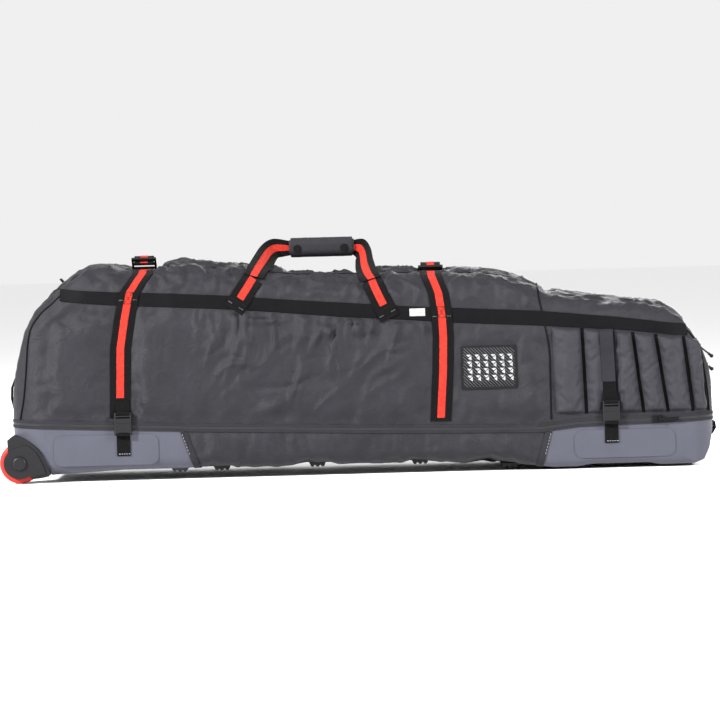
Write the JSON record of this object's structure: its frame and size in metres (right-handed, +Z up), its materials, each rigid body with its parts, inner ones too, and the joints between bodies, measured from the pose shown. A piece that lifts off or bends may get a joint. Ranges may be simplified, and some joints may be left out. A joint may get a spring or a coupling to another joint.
{
  "type": "wheeled travel golf bag",
  "caption": "Long padded travel bag on a wheeled, hard-capped base, with a clamshell lid, compression straps, a padded carry handle and side-release buckles.",
  "frame": {"origin": "centre of the bounding box's underside, on the floor the bag rests on", "axes": "+X along the bag from the wheel end to the head end, -Y towards the buckle side, +Z up"},
  "size_m": [1.334, 0.36, 0.4392],
  "materials": {
    "satin_cloth": "satin polyester weave",
    "grip_cloth": "matte weave",
    "binding": "woven tape",
    "webbing": "woven webbing",
    "stripe": "woven tape",
    "patch": "matte mesh",
    "label": "woven label, blank",
    "foam": "closed-cell foam",
    "board": "smooth",
    "shell": "fine grain",
    "black_plastic": "fine grain",
    "coil": "moulded coil",
    "dark_metal": "dark plated",
    "steel": "zinc plated",
    "hub": "moulded",
    "tyre": "urethane"
  },
  "bodies": {
    "base": {"base_fabric": "satin_cloth", "base_board": "board", "wheel_end_shell": "shell", "head_end_shell": "shell", "shell_bindings": "binding", "skid_bars": "black_plastic", "wheel_housings": "black_plastic", "axles": "black_plastic", "rim_lower": "binding", "zip_coil_lower": "coil", "buckle_socket_wheel_end": "black_plastic", "buckle_socket_head_end": "black_plastic", "anchor_webbing": "webbing", "tie_down_straps": "webbing", "head_floor_pad": "foam", "head_grab_loop": "webbing"},
    "lid": {"lid_side_near": "satin_cloth", "lid_side_far": "satin_cloth", "lid_top_panel": "satin_cloth", "lid_wheel_end_panel": "satin_cloth", "lid_head_end_panel": "satin_cloth", "head_side_near": "satin_cloth", "head_side_far": "satin_cloth", "head_foam": "foam", "rib_pads": "satin_cloth", "rim_upper": "binding", "zip_coil_upper": "coil", "side_bands": "binding", "strap_wheel_end": "webbing", "strap_head_end": "webbing", "strap_stripes": "stripe", "handle_tails": "webbing", "handle_legs": "webbing", "vent_patch": "patch", "blank_label": "label", "webbing_tabs": "webbing", "end_zip_sliders": "dark_metal", "buckle_plug_wheel_end": "black_plastic", "buckle_plug_head_end": "black_plastic", "buckle_straps": "webbing"},
    "wheel_near": {"tyre_near": "tyre", "hub_near": "hub", "bearings_near": "steel"},
    "wheel_far": {"tyre_far": "tyre", "hub_far": "hub", "bearings_far": "steel"},
    "handle": {"grip_core": "foam", "grip_sleeve": "grip_cloth"},
    "grip_flap": {"grip_flap": "grip_cloth", "grip_snaps": "dark_metal"},
    "lock_wheel_end": {"ladder_lock_wheel_end": "black_plastic"},
    "lock_head_end": {"ladder_lock_head_end": "black_plastic"},
    "end_pull_upper": {"end_pull_upper": "black_plastic"},
    "end_pull_lower": {"end_pull_lower": "black_plastic"},
    "zip_slider": {"zip_slider": "dark_metal"},
    "zip_pull": {"zip_pull": "dark_metal"},
    "prong_wheel_end_left": {"prong_wheel_end_left": "black_plastic"},
    "prong_wheel_end_right": {"prong_wheel_end_right": "black_plastic"},
    "prong_head_end_left": {"prong_head_end_left": "black_plastic"},
    "prong_head_end_right": {"prong_head_end_right": "black_plastic"}
  },
  "joints": [
    {"name": "lid_open", "type": "hinge", "parent": "base", "child": "lid", "pos_m": [0, 0.168, 0.088], "axis": [-1, 0, 0], "range_deg": [0, 105]},
    {"name": "wheel_near_spin", "type": "hinge", "parent": "base", "child": "wheel_near", "pos_m": [-0.629, -0.148, 0.038], "axis": [0, 1, 0], "continuous": true},
    {"name": "wheel_far_spin", "type": "hinge", "parent": "base", "child": "wheel_far", "pos_m": [-0.629, 0.148, 0.038], "axis": [0, 1, 0], "continuous": true},
    {"name": "handle_swing", "type": "hinge", "parent": "lid", "child": "handle", "pos_m": [-0.065, 0, 0.379], "axis": [1, 0, 0], "range_deg": [-55, 55], "deforming": ["handle_legs"]},
    {"name": "grip_flap_open", "type": "hinge", "parent": "handle", "child": "grip_flap", "pos_m": [-0.065, -0.009, 0.4395], "axis": [-1, 0, 0], "range_deg": [0, 120]},
    {"name": "lock_wheel_end_tilt", "type": "hinge", "parent": "lid", "child": "lock_wheel_end", "pos_m": [-0.395, -0.06, 0.391], "axis": [-1, 0, 0], "range_deg": [-28, 45]},
    {"name": "lock_head_end_tilt", "type": "hinge", "parent": "lid", "child": "lock_head_end", "pos_m": [0.137, -0.06, 0.374], "axis": [-1, 0, 0], "range_deg": [-8, 60]},
    {"name": "end_pull_upper_swing", "type": "hinge", "parent": "lid", "child": "end_pull_upper", "pos_m": [0.64, 0, 0.216], "axis": [0, -1, 0], "range_deg": [-10, 60]},
    {"name": "end_pull_lower_swing", "type": "hinge", "parent": "lid", "child": "end_pull_lower", "pos_m": [0.653, 0, 0.18], "axis": [0, -1, 0], "range_deg": [-20, 60]},
    {"name": "zip_slide", "type": "slide", "parent": "base", "child": "zip_slider", "axis": [0.9997, 0, 0.0231], "range_m": [-0.05, 0.02]},
    {"name": "zip_pull_swing", "type": "hinge", "parent": "zip_slider", "child": "zip_pull", "pos_m": [0.55, -0.1728, 0.08837], "axis": [0, 0, -1], "range_deg": [0, 150]},
    {"name": "prong_wheel_end_left_squeeze", "type": "slide", "parent": "lid", "child": "prong_wheel_end_left", "axis": [1, 0, 0], "range_m": [0, 0.0025], "stiffness_N_per_m": 400},
    {"name": "prong_wheel_end_right_squeeze", "type": "slide", "parent": "lid", "child": "prong_wheel_end_right", "axis": [-1, 0, 0], "range_m": [0, 0.0025], "stiffness_N_per_m": 400},
    {"name": "prong_head_end_left_squeeze", "type": "slide", "parent": "lid", "child": "prong_head_end_left", "axis": [1, 0, 0], "range_m": [0, 0.0025], "stiffness_N_per_m": 400},
    {"name": "prong_head_end_right_squeeze", "type": "slide", "parent": "lid", "child": "prong_head_end_right", "axis": [-1, 0, 0], "range_m": [0, 0.0025], "stiffness_N_per_m": 400}
  ],
  "couplings": [
    {"joint": "prong_wheel_end_right_squeeze", "follows": "prong_wheel_end_left_squeeze", "ratio": 1},
    {"joint": "prong_head_end_right_squeeze", "follows": "prong_head_end_left_squeeze", "ratio": 1}
  ]
}
